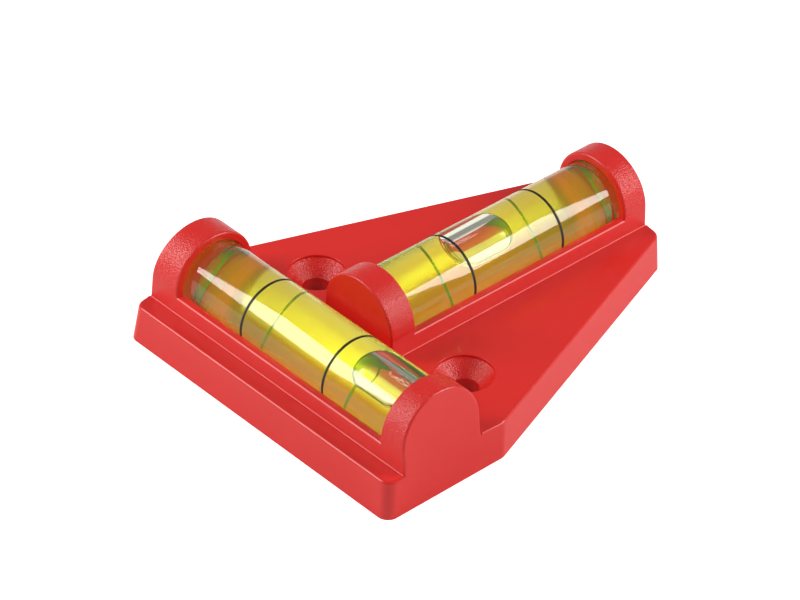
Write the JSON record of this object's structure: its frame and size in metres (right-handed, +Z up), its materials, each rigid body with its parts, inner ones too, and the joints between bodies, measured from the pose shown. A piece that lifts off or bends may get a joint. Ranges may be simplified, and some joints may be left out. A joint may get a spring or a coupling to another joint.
{
  "type": "two-way spirit level",
  "caption": "Small screw-on or stand-on spirit level: a tapered moulded housing holding a cross vial along its wide edge and a long vial at right angles to it.",
  "frame": {"origin": "on the resting plane, at the middle of the housing's footprint", "axes": "+X along the cross vial towards its closed end, +Y from the wide edge to the narrow far end along the long vial, +Z up out of the resting plane"},
  "size_m": [0.07, 0.0882, 0.0204],
  "materials": {
    "red_plastic": "satin moulded, fine grain on the end bosses",
    "clear_acrylic": "clear, polished",
    "vial_liquid": "clear yellow-green liquid",
    "vial_air": "clear air bubble",
    "black_ink": "printed ink"
  },
  "bodies": {
    "body": {"housing": "red_plastic", "base_plate": "red_plastic", "cross_vial_barrel": "clear_acrylic", "cross_vial_plug": "clear_acrylic", "cross_vial_liquid": "vial_liquid", "cross_vial_ring_left": "black_ink", "cross_vial_ring_right": "black_ink", "long_vial_barrel": "clear_acrylic", "long_vial_plug": "clear_acrylic", "long_vial_liquid": "vial_liquid", "long_vial_ring_far": "black_ink", "long_vial_ring_near": "black_ink"},
    "cross_bubble": {"cross_vial_bubble": "vial_air"},
    "long_bubble": {"long_vial_bubble": "vial_air"}
  },
  "joints": [
    {"name": "cross_bubble_slide", "type": "slide", "parent": "body", "child": "cross_bubble", "axis": [1, 0, 0], "range_m": [-0.0374, 0]},
    {"name": "long_bubble_slide", "type": "slide", "parent": "body", "child": "long_bubble", "axis": [0, 1, 0], "range_m": [-0.016, 0.0214]}
  ]
}
